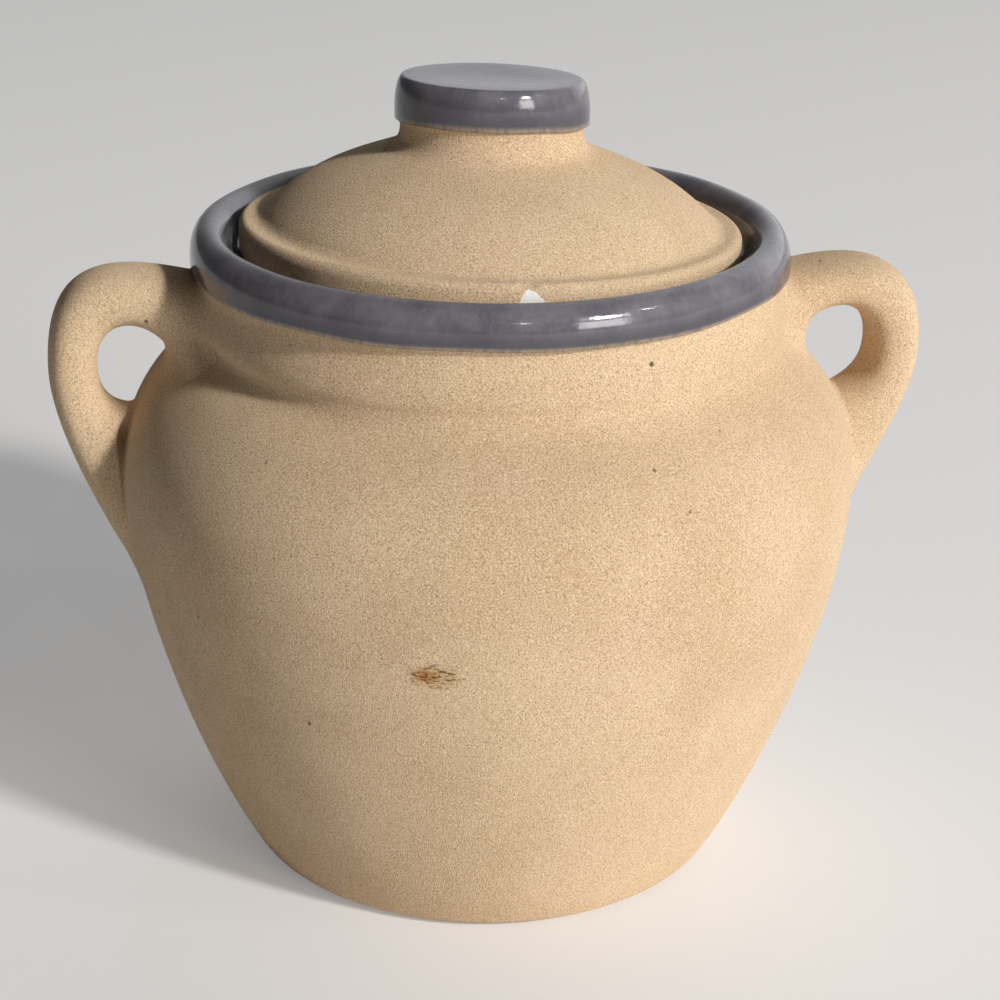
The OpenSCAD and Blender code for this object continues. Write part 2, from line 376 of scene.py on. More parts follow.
# Marks of use, by their angle round the crock in degrees, their radius and their height
STAIN = (-105.2, 54.2, 49.8)
STAIN_CORE = (-106.4, 54.2, 49.9)
FLAW = (-118.0, 39.0, 97.0)
CHIP = (-90.0, 36.2, 98.3)
CHIP_RISE = 0.5
CHIP_LEFT_SLOPE = 1.1
CHIP_RIGHT_SLOPE = 0.55
CHIP_REACH = 4.0
CHIP_BLUR = 0.08

# Specks in the wall, by their angle round the crock in degrees, height, width and darkness
SPECKS = (
    (-67.4, 88.5, 0.5, 0.9), (-71.0, 75.9, 0.42, 0.7), (-55.4, 78.2, 0.34, 0.5),
    (-67.0, 70.6, 0.34, 0.6), (-134.4, 75.1, 0.4, 0.5))

# Colours of the clay, its sand and its marks
CLAY_BROWN = (0.62, 0.44, 0.27, 1)
CLAY_PALE = (0.70, 0.52, 0.335, 1)
CLAY_BLUSH = (0.69, 0.475, 0.33, 1)
CLAY_FRESH = (0.9, 0.88, 0.85, 1)
GRAIN_DARK = (0.30, 0.195, 0.105, 1)
GRAIN_PALE = (0.90, 0.76, 0.56, 1)
IRON_SPECK = (0.10, 0.06, 0.03, 1)
IRON_TINT = (0.46, 0.27, 0.085, 1)
IRON_RUST = (0.42, 0.17, 0.04, 1)
IRON_DARK = (0.11, 0.05, 0.015, 1)

# Colours of the glaze, from the painted shade on its lower, down-facing edge, which partly stands for pooled
# glaze, to where it is worn thin
GLAZE_POOL_AND_SHADE = (0.045, 0.042, 0.055, 1)
GLAZE_DARK = (0.118, 0.112, 0.134, 1)
GLAZE_PALE = (0.185, 0.172, 0.188, 1)
GLAZE_FLECK = (0.21, 0.20, 0.215, 1)
GLAZE_STREAK = (0.23, 0.22, 0.24, 1)
GLAZE_WORN = (0.30, 0.235, 0.17, 1)
GLAZE_FLAW = (0.34, 0.31, 0.29, 1)

# Amounts that the coats' vertices carry: how thin the glaze is, and how much painted shade darkens it
# towards its lower edge, partly as pooled glaze
THIN = "thin"
POOL_AND_SHADE = "pool_and_shade"


def ragged_edge(tree, place, scale, size):
    """Noise about zero that makes the edge of a mark ragged."""
    return maths(tree, "MULTIPLY", maths(tree, "SUBTRACT", noise(tree, place, scale, 2.0, 0.6), 0.5), size)


def spot(tree, place, centre, size, ragged=0.0):
    """Mask of one mark: 1 at its centre, 0 outside its size, with a ragged edge."""
    shrunk = vector(tree, "DIVIDE", vector(tree, "SUBTRACT", place, centre), size)
    reach = vector(tree, "LENGTH", shrunk, result="Value")
    if ragged:
        reach = maths(tree, "ADD", reach, ragged_edge(tree, place, 1.3, ragged))
    return stretched(tree, reach, 0.45, 1.0, 1, 0)


def on_crock(turn, r, z):
    """Place on the crock at an angle in degrees, a radius and a height."""
    return (r * math.cos(math.radians(turn)), r * math.sin(math.radians(turn)), z)


def chip_mask(tree, place):
    """Mask of the fresh break in the lid's edge: a small three-sided face that is highest at its left."""
    off = vector(tree, "SUBTRACT", place, on_crock(*CHIP))
    turn = math.radians(CHIP[0])
    along = (-math.sin(turn), math.cos(turn), 0)
    inward = (-math.cos(turn), -math.sin(turn), CHIP_RISE)
    right = vector(tree, "DOT_PRODUCT", off, along, "Value")
    high = vector(tree, "DOT_PRODUCT", off, inward, "Value")
    high = maths(tree, "ADD", high, ragged_edge(tree, place, 1.6, 0.5))
    left_side = maths(tree, "MULTIPLY", right, CHIP_LEFT_SLOPE)
    right_side = maths(tree, "MULTIPLY", right, -CHIP_RIGHT_SLOPE)
    room = maths(tree, "SUBTRACT", maths(tree, "MINIMUM", left_side, right_side), high)
    near = maths(tree, "LESS_THAN", vector(tree, "LENGTH", off, result="Value"), CHIP_REACH)
    return maths(tree, "MULTIPLY", stretched(tree, room, -CHIP_BLUR, CHIP_BLUR), near)


def speck_mask(tree, place):
    """Mask of the iron specks: some in cells picked by chance, and those that have their own places."""
    cells = add(tree, "ShaderNodeTexVoronoi", {"Vector": place, "Scale": 0.2})
    chosen = add(tree, "ShaderNodeSeparateColor", {0: cells.outputs["Color"]})
    size = stretched(tree, chosen.outputs[1], 0.0, 1.0, 0.035, 0.075)
    near = maths(tree, "LESS_THAN", cells.outputs["Distance"], size)
    speck = maths(tree, "MULTIPLY", near, stretched(tree, chosen.outputs[0], 0.84, 0.88, 0, 0.75))
    for turn, z, wide, dark in SPECKS:
        on_wall = on_crock(turn, float(wall_radius(math.radians(turn), z)), z)
        one = spot(tree, place, on_wall, (wide, wide, wide))
        speck = maths(tree, "MAXIMUM", speck, maths(tree, "MULTIPLY", one, dark))
    return speck


def stained(tree, place, sand):
    """A colour with the iron stain over it: a faint tint, a rusty core and dark flat dashes."""
    tint = spot(tree, place, on_crock(*STAIN), (4.4, 3.0, 2.2), 0.9)
    sand = blended(tree, maths(tree, "MULTIPLY", tint, 0.45), sand, IRON_TINT)
    core = spot(tree, place, on_crock(*STAIN_CORE), (2.0, 2.0, 1.3), 0.9)
    sand = blended(tree, maths(tree, "MULTIPLY", core, 0.7), sand, IRON_RUST)
    flat = vector(tree, "MULTIPLY", place, (0.8, 0.8, 2.6))
    dashes = stretched(tree, noise(tree, flat, 1.0, 2.0, 0.6), 0.53, 0.6)
    dashes = maths(tree, "MULTIPLY", dashes, spot(tree, place, on_crock(*STAIN), (5.2, 3.4, 2.6), 0.8))
    return blended(tree, maths(tree, "MULTIPLY", dashes, 0.85), sand, IRON_DARK)


def stoneware():
    """Bare sandy clay: fine grain, faint patches of tone, iron specks and stain, and a chip's fresh clay."""
    material, tree, shader, place = new_material(
        "stoneware", Roughness=0.88, Specular_IOR_Level=0.2, Diffuse_Roughness=0.3)
    tone = noise(tree, place, 0.035, 4.0, 0.6)
    blush = noise(tree, place, 0.06, 3.0, 0.55)
    grain = noise(tree, place, 4.4, 1.2, 0.6)
    sand = blended(tree, stretched(tree, tone, 0.35, 0.65), CLAY_BROWN, CLAY_PALE)
    sand = blended(tree, stretched(tree, blush, 0.5, 0.7, 0, 0.5), sand, CLAY_BLUSH)
    sand = blended(tree, stretched(tree, grain, 0.28, 0.5, 0.68, 0), sand, GRAIN_DARK)
    sand = blended(tree, stretched(tree, grain, 0.5, 0.72, 0, 0.62), sand, GRAIN_PALE)
    sand = blended(tree, speck_mask(tree, place), sand, IRON_SPECK)
    sand = stained(tree, place, sand)
    sand = blended(tree, chip_mask(tree, place), sand, CLAY_FRESH)
    tree.links.new(sand, shader.inputs["Base Color"])
    pits = noise(tree, place, 5.0, 1.0, 0.6)
    bumped(tree, shader, maths(tree, "ADD", grain, maths(tree, "MULTIPLY", pits, 0.5)), 0.6, 0.16)
    return material


def glazed():
    """Glossy dark blue-grey glaze that breaks to a paler brown where it runs thin, and that carries painted
    shade towards its lower edge, partly standing for pooled glaze.
    """
    material, tree, shader, place = new_material("glaze", IOR=1.5)
    cloud = noise(tree, place, 0.14, 4.0, 0.6)
    mottle = noise(tree, place, 1.1, 3.0, 0.6)
    streak = noise(tree, vector(tree, "MULTIPLY", place, (1.0, 1.0, 0.12)), 1.5, 2.0, 0.5)
    coat = blended(tree, stretched(tree, cloud, 0.35, 0.65), GLAZE_DARK, GLAZE_PALE)
    coat = blended(tree, stretched(tree, mottle, 0.5, 0.75, 0, 0.4), coat, GLAZE_FLECK)
    coat = blended(tree, stretched(tree, streak, 0.55, 0.75, 0, 0.3), coat, GLAZE_STREAK)
    # Painted shade: the coat is darker towards its lower, down-facing edge, partly as pooled glaze
    pool_and_shade = add(tree, "ShaderNodeAttribute", attribute_name=POOL_AND_SHADE).outputs["Fac"]
    coat = blended(tree, stretched(tree, pool_and_shade, 0.1, 0.9, 0, 0.7), coat, GLAZE_POOL_AND_SHADE)
    thin = add(tree, "ShaderNodeAttribute", attribute_name=THIN).outputs["Fac"]
    worn = maths(tree, "MULTIPLY", thin, stretched(tree, streak, 0.3, 0.6, 0.45, 1.0))
    coat = blended(tree, worn, coat, GLAZE_WORN)
    flaw = spot(tree, place, on_crock(*FLAW), (1.0, 0.9, 0.7), 1.0)
    coat = blended(tree, flaw, coat, GLAZE_FLAW)
    tree.links.new(coat, shader.inputs["Base Color"])
    tree.links.new(stretched(tree, mottle, 0.3, 0.7, 0.08, 0.16), shader.inputs["Roughness"])
    bumped(tree, shader, noise(tree, place, 0.45, 2.0, 0.5), 0.1, 0.3)
    return material


clay = stoneware()
glaze = glazed()


# Crock

SIDES = 256
ON_WALL = 0.05


def crock_shape(r, z, turn):
    """Takes the crock's outside to its uneven radius, and leaves its inside and foot as they are."""
    outside = r > np.interp(z, outer_wall[:, 1], outer_wall[:, 0]) - ON_WALL
    between = (z > outer_wall[0, 1]) & (z < glaze_low_z)
    return np.where(outside & between, wall_radius(turn, z), r), z


foot_edge = arc((foot_r, foot_round), (foot_round, foot_round), -90, -math.degrees(foot_lean), 10)
ledge_edge = arc((throat_r + ledge_round, ledge_z - ledge_round), (ledge_round, ledge_round), 90, 180, 8)
crock_outline = joined(
    straight((0, 0), (foot_r, 0), 10), foot_edge, outer_wall, rim_core,
    straight((mouth_r + glaze_t, ledge_z), ledge_edge[0], 6), ledge_edge, hollow(0)[::-1])
crock_mesh = lathe(crock_outline, SIDES, crock_shape)
piece("crock_body_clay", *crock_mesh, "crock_body", "crock", "stoneware", clay)


# Coat of glaze over the rim

RIM_SIDES = 384
BEAD_SWELL = 0.18
BEAD_SPREAD = 0.22
# How far up from the lower edge the rim coat stays thin, and how far its painted shade, partly pooled glaze,
# reaches
RIM_THIN = 0.3
RIM_POOL_AND_SHADE = 4.2
POOL_PULL = (0.25, 0.9)
POOL_RUN = 0.5
FILM_T = 0.03
edge_wander = waves(seed=5, count=8, around=14, length=1000, size=0.12)
edge_sag = 0.3
sag_turn = math.radians(-135)
coat_uneven = waves(seed=23, count=14, around=16, length=9, size=0.05)
bead = glaze_t / 2
rim_half = np.array((rim_w / 2, rim_rise))
rim_turn = np.arange(RIM_SIDES) * FULL_TURN / RIM_SIDES
edge_drop = glaze_drop + edge_sag * np.cos(rim_turn - sag_turn) + edge_wander(rim_turn, 0)
low_angle = -np.arcsin(edge_drop / rim_half[1])
pool_angle = math.pi - 0.38
pool_r = mouth_r - 2.0


def on_rim(angle, inset):
    """Points on the rim's round section, drawn in by some depth."""
    half = rim_half - inset
    return np.stack([crown_r + half[0] * np.cos(angle), rim_z + half[1] * np.sin(angle)], -1)


def rim_rows():
    """Rows of the coat over the rim, how thin it is at their points, and how much painted shade darkens them
    towards the lower edge, partly as pooled glaze.

    They go from the rolled lower edge over the outside to the pool on the ledge, and back along the core."""
    over = low_angle + (pool_angle - low_angle) * np.linspace(0, 1, 65)[:, None]
    swell = BEAD_SWELL * np.exp(-((over - low_angle) / BEAD_SPREAD) ** 2)
    normal = unit(np.stack([np.cos(over) / rim_half[0], np.sin(over) / rim_half[1]], -1))
    rise = swell + coat_uneven(rim_turn, over * rim_half[1])
    outside = on_rim(over, 0.0) + normal * rise[..., None]
    down = unit(np.stack([np.sin(over[0]) * rim_half[0], -np.cos(over[0]) * rim_half[1]], -1))
    inside = on_rim(low_angle, glaze_t)
    middle = (outside[0] + inside) / 2
    half = (outside[0] - inside) / 2
    roll = np.linspace(math.pi, 0, 9)[1:-1, None, None]
    lip = middle + np.cos(roll) * half + np.sin(roll) * down * bead
    film_z = ledge_z + FILM_T
    turn_in = np.array((mouth_r - POOL_RUN, film_z))
    pool_end = np.array((pool_r, film_z))
    pool = [
        cubic(t, outside[-1], outside[-1] - POOL_PULL, turn_in, pool_end)
        for t in np.linspace(0, 1, 13)[1:, None]]
    under = [np.tile((r, ledge_z), (RIM_SIDES, 1)) for r in (pool_r, mouth_r + glaze_t)]
    back_angle = np.linspace(math.pi, 0, 24)[:, None] + np.linspace(0, 1, 24)[:, None] * low_angle
    rows = np.concatenate([lip, outside, np.array(pool), np.array(under), on_rim(back_angle, glaze_t)])
    above = rows[..., 1] - inside[:, 1]
    first = np.arange(len(rows))[:, None] < len(lip) + len(outside) // 2
    thin, pool_and_shade = (np.where(first, np.clip(1 - above / far, 0, 1), 0) for far in (RIM_THIN, RIM_POOL_AND_SHADE))
    return rows, thin, pool_and_shade


rim_section, rim_thin, rim_pool_and_shade = rim_rows()
rim_grid = np.stack([
    rim_section[..., 0] * np.cos(rim_turn), rim_section[..., 0] * np.sin(rim_turn), rim_section[..., 1]], -1)
rim_faces = tube_faces(len(rim_grid), RIM_SIDES, True)
rim_coat = piece("rim_glaze_coat", rim_grid.reshape(-1, 3), rim_faces, "rim_glaze", "crock", "glaze", glaze)
mark(rim_coat, THIN, rim_thin)
# Painted shade on the rim coat's lower, down-facing half, partly pooled glaze
mark(rim_coat, POOL_AND_SHADE, rim_pool_and_shade)


# Coat of glaze on the inside

throat_lip = arc((throat_r - bead, ledge_z - ledge_round), (bead, bead), 0, 180, 8)
inner_outline = joined(hollow(0), throat_lip, hollow(glaze_t)[::-1])
piece("inner_glaze_coat", *lathe(inner_outline, SIDES), "inner_glaze", "crock", "glaze", glaze)


# Handles

# Sizes of a handle's lines in its own plane: its outer line, and the line of the loop that it leaves open
handle_t = 7.1
handle_w = 12.0
upper_flare = 0.35
root_gap = 3.0
root_h = 11.5
top_run = 13.5
top_lift = 3.6
bend_h = 12.0
bend_pull = 17.0
fall_pull = 7.5
tail_drop = 14.5
tail_out = 8.0
tail_up = 15.0
loop_in = 1.8
loop_run = 2.8
loop_lift = 8.2
loop_pull = 8.6
loop_fall = 3.5
loop_up = 11.2
loop_out = 5.0
root_sink = wall_t / 2
STRAP_POWER = 2.5
STRAP_SIDES = 80
STRAP_STEPS = 240


def handle_lines(reach=0.0, sag=0.0, extra=0.0, fill=0.0, slant=0.0, dip=0.0, drop=0.0):
    """Outer line and loop line of a handle.

    It differs a little from the plain one: it reaches out, sags at its top, is thicker at its bend, fills
    the upper corner of its loop, slants and dips at the lower one and drops its tail by so much."""
    out_r = far_r + reach
    loop_r = out_r - handle_t - extra
    root_z = glaze_low_z - root_gap
    far_z = root_z - bend_h
    root = np.array((neck_r - root_sink, root_z - sag))
    tail = np.array((belly_r - root_sink, belly_z - tail_drop - drop))
    loop_start = np.array((neck_r + loop_in + fill, root_z - root_h))
    loop_end = np.array((belly_r - root_sink, belly_z + loop_up - dip))
    outer_upper = bezier(
        root, root + (top_run, top_lift), (out_r, far_z + bend_pull - sag), (out_r, far_z), STRAP_STEPS)
    outer_lower = bezier(
        (out_r, far_z), (out_r, far_z - fall_pull), tail + (tail_out, tail_up), tail, STRAP_STEPS)
    loop_upper = bezier(
        loop_start, loop_start + (loop_run, loop_lift), (loop_r, far_z + loop_pull), (loop_r, far_z),
        STRAP_STEPS)
    loop_lower = bezier(
        (loop_r, far_z), (loop_r, far_z - loop_fall), loop_end + (loop_out, slant), loop_end,
        STRAP_STEPS)
    return joined(outer_upper, outer_lower), joined(loop_upper, loop_lower)


def rounded(amounts):
    """Sines or cosines of a round section, taken to those of the strap's squarer one."""
    return np.sign(amounts) * np.abs(amounts) ** (2 / STRAP_POWER)


def strap(side, lower_flare, **changes):
    """Dense lines along a handle's strap, before its roots are luted to the wall: steps by sides by XYZ."""
    outer, loop = handle_lines(**changes)
    share = np.linspace(0, 2, len(outer))
    near_top = np.clip(1 - share, 0, 1) ** 3
    near_low = np.clip(share - 1, 0, 1) ** 3
    half_w = handle_w / 2 * (1 + upper_flare * near_top + lower_flare * near_low)
    angle = np.arange(STRAP_SIDES) * FULL_TURN / STRAP_SIDES
    across = rounded(np.cos(angle))
    middle, half = (outer + loop) / 2, (outer - loop) / 2
    x = middle[:, :1] + half[:, :1] * across
    z = middle[:, 1:] + half[:, 1:] * across
    y = half_w[:, None] * rounded(np.sin(angle))
    return np.stack([side * x, y, z], -1), angle


HALF_STEP = 0.5


def wall_slope(turn, z):
    """How much the wall's radius grows over a millimetre of height."""
    return wall_radius(turn, z + HALF_STEP) - wall_radius(turn, z - HALF_STEP)


def wall_gap(points):
    """Distance of points from the crock's outside, counted along its slope."""
    turn = np.arctan2(points[..., 1], points[..., 0])
    rho = np.hypot(points[..., 0], points[..., 1])
    z = points[..., 2]
    return (rho - wall_radius(turn, z)) / np.sqrt(1 + wall_slope(turn, z) ** 2)


def wall_normal(points):
    """Direction straight out of the crock's outside."""
    turn = np.arctan2(points[..., 1], points[..., 0])
    return unit(np.stack([np.cos(turn), np.sin(turn), -wall_slope(turn, points[..., 2])], -1))


def crossing(gap, level):
    """Place along a line, counted in points, where its gap to the wall first reaches a level."""
    i = int(np.argmax(gap >= level))
    return i - (gap[i] - level) / (gap[i] - gap[i - 1])


def on_line(line, place):
    """Points along a line at places counted in points."""
    steps = np.arange(len(line))
    return np.stack([np.interp(place, steps, line[:, k]) for k in range(3)], -1)


# How far from the wall, and along it, a root's turn goes: at the outer line, the sides and the loop
TOP_STARTS = (1.8, 4.0, 5.4)
TOP_REACHES = (1.0, 4.0, 5.4)
LOOP_FILL = 1.1
TOP_POWER = 2.0
LOOP_POWER = 0.8
ROOT_STEPS = 16
ROOT_PULL = 0.42
ROOT_CLEAR = 0.01
STRAP_ROWS = 96

# Crevice under the strap's front edge, by its place and spread round the strap
NOTCH_PLACE = math.radians(232)
NOTCH_SPREAD = math.radians(26)
NOTCH_OPEN = 1.0

# How far the ends of a handle's mesh go along and into the wall, out of sight
SKIRT_RUN = 0.9
SKIRT_SINK = 0.35
CAP_SINK = 1.0


def luted(lines, angle, starts, reaches, outer_power, notch=0.0):
    """One end of the strap: each line leaves the wall's face, and turns into the handle.

    starts and reaches give how far from the wall, and along it, the turn goes: at the outer line, the
    strap's sides and the loop. The lower outer_power is, the further the outer line's turn spreads.
    A notch is the depth of the open crevice under the strap's front edge.
    Returns the rows from the wall out, and where each line goes on from."""
    by_outer = np.clip(np.cos(angle), 0, 1) ** outer_power
    by_loop = np.clip(-np.cos(angle), 0, 1) ** LOOP_POWER
    share = np.stack([by_outer, 1 - by_outer - by_loop, by_loop], -1)
    crevice = np.exp(-((angle - NOTCH_PLACE) / NOTCH_SPREAD) ** 2)
    start = share @ np.array(starts) + (NOTCH_OPEN * crevice if notch else 0)
    reach = share @ np.array(reaches)
    gap = wall_gap(lines)
    every = range(STRAP_SIDES)
    places = np.array([crossing(gap[:, k], start[k]) for k in every])
    begin = np.array([on_line(lines[:, k], places[k]) for k in every])
    meets = np.array([on_line(lines[:, k], crossing(gap[:, k], 0.0)) for k in every])
    seam_way = np.roll(meets, -1, 0) - np.roll(meets, 1, 0)
    away = unit(np.cross(seam_way, wall_normal(meets)))
    away *= np.sign(np.sum(away * (meets - meets.mean(0)), 1))[:, None]
    end = meets + away * reach[:, None]
    end -= wall_normal(end) * wall_gap(end)[:, None]
    by_wall = meets + ROOT_PULL * (end - meets)
    by_strap = meets + ROOT_PULL * (begin - meets)
    skirt = end + away * SKIRT_RUN
    skirt -= wall_normal(skirt) * (wall_gap(skirt) + SKIRT_SINK)[:, None]
    rows = [skirt]
    for t in np.linspace(0, 1, ROOT_STEPS + 1)[:-1]:
        row = cubic(t, end, by_wall, by_strap, begin)
        row -= away * (notch * crevice * math.sin(math.pi * t))[:, None]
        low = np.clip(ROOT_CLEAR - wall_gap(row), 0, None)
        rows.append(row + wall_normal(row) * low[:, None])
    return np.array(rows), places


def handle_mesh(side, notch, edge, tail_start, tail, tail_power, **changes):
    """Vertices and faces of one handle, both roots luted to the wall, the lower one less at its sides."""
    lines, angle = strap(side, **changes)
    top_rows, top_places = luted(lines, angle, TOP_STARTS, TOP_REACHES, TOP_POWER)
    low_starts, low_reaches = (tail_start, edge, LOOP_FILL), (tail, edge, LOOP_FILL)
    low_rows, low_places = luted(lines[::-1], angle, low_starts, low_reaches, tail_power, notch)
    low_places = len(lines) - 1 - low_places
    places = top_places + (low_places - top_places) * np.linspace(0, 1, STRAP_ROWS + 1)[:, None]
    body = np.stack([on_line(lines[:, k], places[:, k]) for k in range(STRAP_SIDES)], 1)
    grid = np.concatenate([top_rows, body, low_rows[::-1]])
    caps = np.array([grid[0].mean(0), grid[-1].mean(0)])
    caps -= wall_normal(caps) * CAP_SINK
    vertices = np.r_[grid.reshape(-1, 3), caps]
    faces = tube_faces(len(grid), STRAP_SIDES, False)
    faces += fan_faces(0, STRAP_SIDES, len(vertices) - 2)
    faces += fan_faces(len(grid) - 1, STRAP_SIDES, len(vertices) - 1)
    return vertices, faces


right_mesh = handle_mesh(
    1, notch=0.0, edge=0.9, tail_start=4.0, tail=7.0, tail_power=0.5,
    lower_flare=0.3, reach=0.5, sag=0.6, extra=0.5, slant=2.6, dip=1.2)
piece("right_handle_clay", *right_mesh, "right_handle", "crock", "stoneware", clay)
left_mesh = handle_mesh(
    -1, notch=2.6, edge=0.35, tail_start=1.8, tail=5.0, tail_power=4.0,
    lower_flare=0.02, reach=-0.3, sag=-0.6, fill=1.3, drop=2.5)
piece("left_handle_clay", *left_mesh, "left_handle", "crock", "stoneware", clay)


# Lid

# The hand-thrown lid falls a little to the back and right, and its knob a little more to the back
LID_SIDES = 480
lid_lean = math.tan(math.radians(2.44))
lean_turn = math.radians(47)
knob_top_tilt = math.tan(math.radians(1.6))
knob_low_tilt = math.tan(math.radians(4.7))
tilt_turn = math.radians(82)
chip_depth = 0.35
chip_size = (1.2, 0.8)


def lean(r, z, turn):
    """Heights of the lid's points once it leans. Its underside stays flat on the ledge."""
    share = np.clip((z - ledge_z) / flange_t, 0, 1)
    return z - lid_lean * share * r * np.cos(turn - lean_turn)


def lid_shape(r, z, turn):
    """The lid's points, with its lean and a small chip in its edge."""
    chip_turn, chip_r, chip_z = math.radians(CHIP[0]), CHIP[1], CHIP[2]
    along = ((turn - chip_turn + math.pi) % FULL_TURN - math.pi) * flange_r / chip_size[0]
    away = np.hypot(r - chip_r, z - chip_z) / chip_size[1]
    bite = chip_depth * np.exp(-along ** 4 - away ** 2)
    return r - bite, lean(r, z - bite, turn)


dome_third = (crease_r - stem_foot_r) / 3
dome = bezier(
    (crease_r, flange_z),
    (crease_r - dome_third, flange_z + dome_third * dome_start_slope),
    (stem_foot_r + dome_third, dome_z - dome_third * dome_end_slope),
    (stem_foot_r, dome_z), 60)
under_dome = beside(dome, lid_t)
under_dome = under_dome[under_dome[:, 1] > ledge_z]
edge_r = flange_r - flange_round
edge_half = (flange_round, flange_round)
crease_steps = 4
crease_dip = 0.25
crease = bezier(
    (edge_r, flange_z), (edge_r - flange_round, flange_z),
    (crease_r, flange_z - crease_dip), dome[crease_steps], 14)
under_stem = dome[-1] + (dome[-1] - dome[-2]) * np.arange(1, 12)[:, None]
lid_outline = joined(
    straight((0, under_dome[-1, 1]), under_dome[-1], 6), under_dome[::-1],
    straight((under_dome[0, 0], ledge_z), (edge_r, ledge_z), 6),
    arc((edge_r, ledge_z + flange_round), edge_half, -90, 0, 8),
    arc((edge_r, flange_z - flange_round), edge_half, 0, 90, 10),
    crease, dome[crease_steps + 1:], under_stem, straight(under_stem[-1], (0, under_stem[-1, 1]), 6))
piece("lid_clay", *lathe(lid_outline, LID_SIDES, lid_shape), "lid", "lid", "stoneware", clay)


# Knob

KNOB_SIDES = 256
# How far up from its lower edge the knob's coat stays thin, and how far its painted shade, partly pooled
# glaze, reaches
KNOB_THIN = 0.7
KNOB_POOL_AND_SHADE = 6.5
TILT_POWER = 1.5
knob_uneven = waves(seed=31, count=6, around=9, length=1000, size=0.07)
edge_z = knob_z - knob_edge_h
core_r = knob_r - glaze_t

# The stem's turn out of the dome, its straight part as shares of its height, and its flare to the knob
stem_steps = 9
stem_sink = 0.06
stem_pull = 2.6
stem_low = 0.1
stem_top = 0.72
flare_pull = 0.16
flare_drop = 0.4
core_sink = 0.6


def knob_shape(r, z, turn):
    """The knob's points: its top and its lower edge tilt by themselves, and it leans with the lid."""
    above_stem = np.clip((z - dome_z) / stem_h, 0, 1) ** TILT_POWER
    up = np.clip((z - knob_low_z) / (knob_z - knob_low_z), 0, 1)
    tilt = knob_low_tilt + (knob_top_tilt - knob_low_tilt) * up
    fall = tilt * r * np.cos(turn - tilt_turn) - (1 - up) * knob_uneven(turn, 0)
    return r, lean(r, z - above_stem * fall, turn)


def knob_top(coat):
    """Outline of the knob's rounded edge and dished top, drawn in by a coat."""
    top_r = knob_r - knob_edge_w
    edge = arc((top_r, edge_z), (knob_edge_w - coat, knob_edge_h - coat), 0, 90, 20)
    share = np.linspace(1, 0, 24)
    dish = np.c_[top_r * share, knob_z - coat - knob_dish * (1 - share ** 2) ** 2]
    return joined(edge, dish)


foot_step = len(dome) - stem_steps
foot_way = dome[foot_step + 1] - dome[foot_step]
foot_way /= np.linalg.norm(foot_way)
stem = bezier(
    dome[foot_step] - (0, stem_sink),
    dome[foot_step] + stem_pull * foot_way,
    (stem_r, dome_z + stem_low * stem_h),
    (stem_r, dome_z + stem_top * stem_h), 32)
knob_neck = bezier(
    stem[-1], stem[-1] + (0, flare_pull * stem_h),
    (core_r, knob_low_z - flare_drop), (core_r, knob_low_z), 8)
knob_side = straight((core_r, knob_low_z), (core_r, edge_z), 5)
sunk_z = dome[foot_step, 1] - core_sink
knob_outline = joined(
    straight((0, sunk_z), (stem[0, 0], sunk_z), 6), stem, knob_neck, knob_side, knob_top(glaze_t))
knob_mesh = lathe(knob_outline, KNOB_SIDES, knob_shape)
piece("lid_knob_clay", *knob_mesh, "lid_knob", "lid", "stoneware", clay)

knob_lip = arc((knob_r - bead, knob_low_z), (bead, bead), -180, 0, 8)
coat_side = straight((knob_r, knob_low_z), (knob_r, edge_z), 6)
knob_coat_outline = joined(knob_top(glaze_t)[::-1], knob_side[::-1], knob_lip, coat_side, knob_top(0))
knob_coat_mesh = lathe(knob_coat_outline, KNOB_SIDES, knob_shape)
knob_coat = piece("knob_glaze_coat", *knob_coat_mesh, "knob_glaze", "lid", "glaze", glaze)
# Thinness at the knob coat's lower edge, and painted shade towards that edge, partly pooled glaze
for name, far in ((THIN, KNOB_THIN), (POOL_AND_SHADE, KNOB_POOL_AND_SHADE)):
    amounts = np.clip(1 - (knob_coat_outline[1:-1, 1] - knob_low_z) / far, 0, 1)
    mark(knob_coat, name, np.r_[np.repeat(amounts, KNOB_SIDES), 0, 0])


# Floor and light

FLOOR_HALF = 4.0
FLOOR_TONE = (0.93, 0.92, 0.915, 1)
FLOOR_GLOW = 0.24

# Lamps, by their angles round the crock and over the floor in degrees, size in metres and power in watts
LAMPS = (
    ("key", -51.5, 31, 0.28, 68),
    ("low_key", -56, 14, 0.9, 28),
    ("front", -84, 30, 0.14, 1.6),
    ("side", -31, 36, 0.14, 3.2))
LAMP_DISTANCE = 3.0
LAMP_COLOUR = (1.0, 0.99, 0.97)
LAMP_TARGET = (0, 0, 0.06)
SURROUND_COLOUR = (0.96, 0.98, 1.0, 1)
SURROUND_SEEN = 0.8


def pale_floor():
    """Matt pale floor that looks a little brighter than its light makes it, and keeps its shadows."""
    material, tree, shader, _ = new_material("pale_floor", Base_Color=FLOOR_TONE, Roughness=0.9)
    path = add(tree, "ShaderNodeLightPath").outputs
    seen = maths(tree, "MAXIMUM", path["Is Camera Ray"], path["Is Glossy Ray"])
    seen = maths(tree, "MAXIMUM", seen, path["Is Transmission Ray"])
    glow = add(tree, "ShaderNodeEmission", {"Color": FLOOR_TONE, "Strength": 1.0})
    share = maths(tree, "MULTIPLY", seen, FLOOR_GLOW)
    both = add(tree, "ShaderNodeMixShader", {0: share, 1: shader.outputs[0], 2: glow.outputs[0]})
    tree.links.new(both.outputs[0], tree.nodes["Material Output"].inputs["Surface"])
    return material


def make_floor():
    """A wide pale floor."""
    half = FLOOR_HALF
    mesh = bpy.data.meshes.new("floor")
    corners = [(-half, -half, 0), (half, -half, 0), (half, half, 0), (-half, half, 0)]
    mesh.from_pydata(corners, [], [(0, 1, 2, 3)])
    mesh.materials.append(pale_floor())
    floor = bpy.data.objects.new("floor", mesh)
    bpy.context.scene.collection.objects.link(floor)


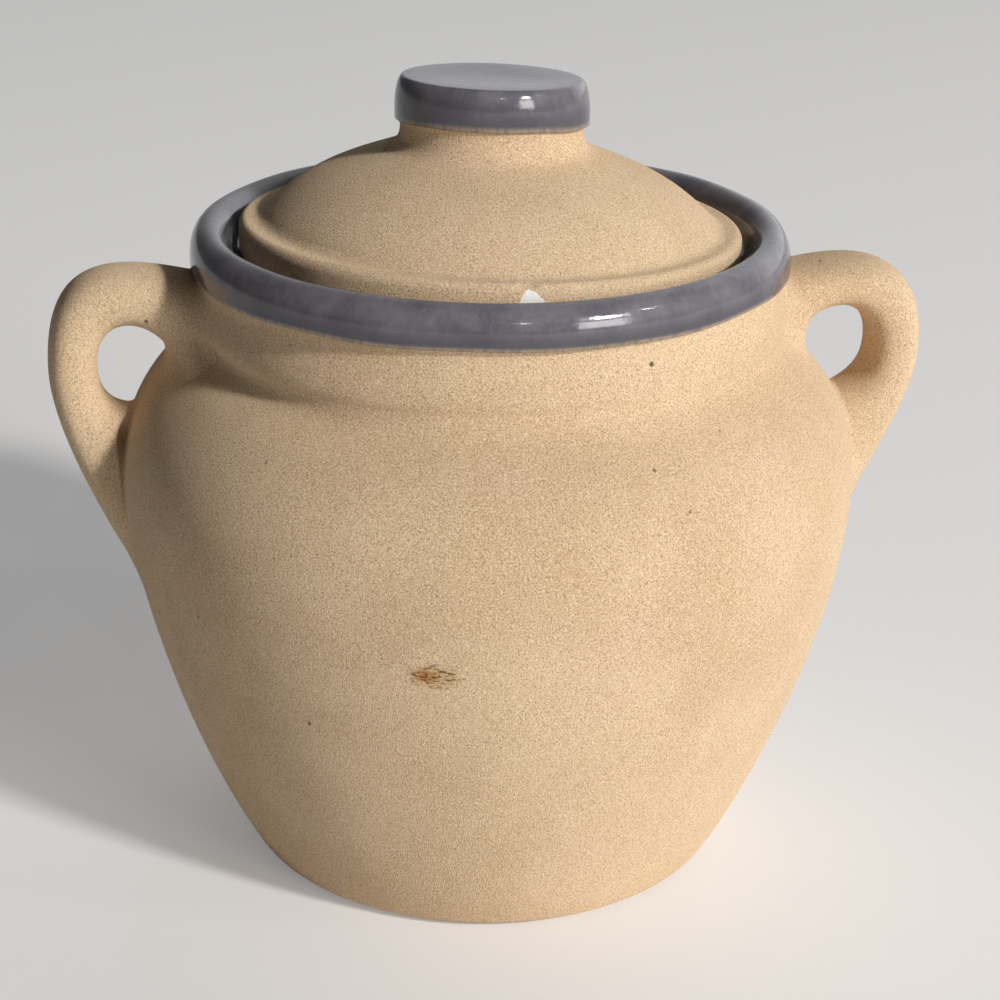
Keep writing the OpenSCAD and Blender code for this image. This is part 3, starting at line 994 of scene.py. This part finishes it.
def area_light(name, turn, height, size, power):
    """A square soft lamp that faces the crock."""
    data = bpy.data.lights.new(name, "AREA")
    data.size = size
    data.energy = power
    data.color = LAMP_COLOUR
    turn, height = math.radians(turn), math.radians(height)
    flat = LAMP_DISTANCE * math.cos(height)
    place = Vector((flat * math.cos(turn), flat * math.sin(turn), LAMP_DISTANCE * math.sin(height)))
    lamp = bpy.data.objects.new(name, data)
    lamp.location = place
    lamp.rotation_euler = (Vector(LAMP_TARGET) - place).to_track_quat("-Z", "Y").to_euler()
    bpy.context.scene.collection.objects.link(lamp)


def make_light():
    """Key light from the right and front, weaker lamps, and a surround that is bright behind and right."""
    for lamp in LAMPS:
        area_light(*lamp)
    world = bpy.data.worlds.new("surround")
    world.use_nodes = True
    tree = world.node_tree
    ground = tree.nodes["Background"]
    way = add(tree, "ShaderNodeTexCoord").outputs["Generated"]
    parts = add(tree, "ShaderNodeSeparateXYZ", {0: way})
    behind = stretched(tree, parts.outputs["Y"], 0.1, 0.7, 0.0, 0.5)
    aside = stretched(tree, parts.outputs["X"], -0.5, 0.9, 0.2, 2.6)
    seen = add(tree, "ShaderNodeLightPath").outputs["Is Camera Ray"]
    light = maths(tree, "MULTIPLY", behind, aside)
    strength = add(tree, "ShaderNodeMix", {0: seen, 2: light, 3: SURROUND_SEEN}, data_type="FLOAT")
    tree.links.new(strength.outputs[0], ground.inputs["Strength"])
    ground.inputs["Color"].default_value = SURROUND_COLOUR
    bpy.context.scene.world = world


# The camera's place, its turns in degrees and its focal length in image widths
cam_distance = 340.2
cam_height = 192.3
cam_azimuth = -8.0
cam_yaw = 0.331
cam_pitch = 22.18
cam_roll = 0.865
cam_focal = 2.3939
SENSOR = 36.0


def make_camera():
    """The camera, at the photograph's viewing angle."""
    data = bpy.data.cameras.new("camera")
    data.sensor_width = SENSOR
    data.lens = cam_focal * SENSOR
    camera = bpy.data.objects.new("camera", data)
    stand = math.radians(cam_azimuth)
    place = Vector((cam_distance * math.sin(stand), -cam_distance * math.cos(stand), cam_height)) * MM
    turn = (
        Matrix.Rotation(math.radians(cam_azimuth - cam_yaw), 4, "Z")
        @ Matrix.Rotation(math.radians(90 - cam_pitch), 4, "X")
        @ Matrix.Rotation(math.radians(cam_roll), 4, "Z"))
    camera.matrix_world = Matrix.Translation(place) @ turn
    bpy.context.scene.collection.objects.link(camera)
    bpy.context.scene.camera = camera


make_floor()
make_light()
make_camera()
bpy.context.scene.view_settings.view_transform = "Standard"
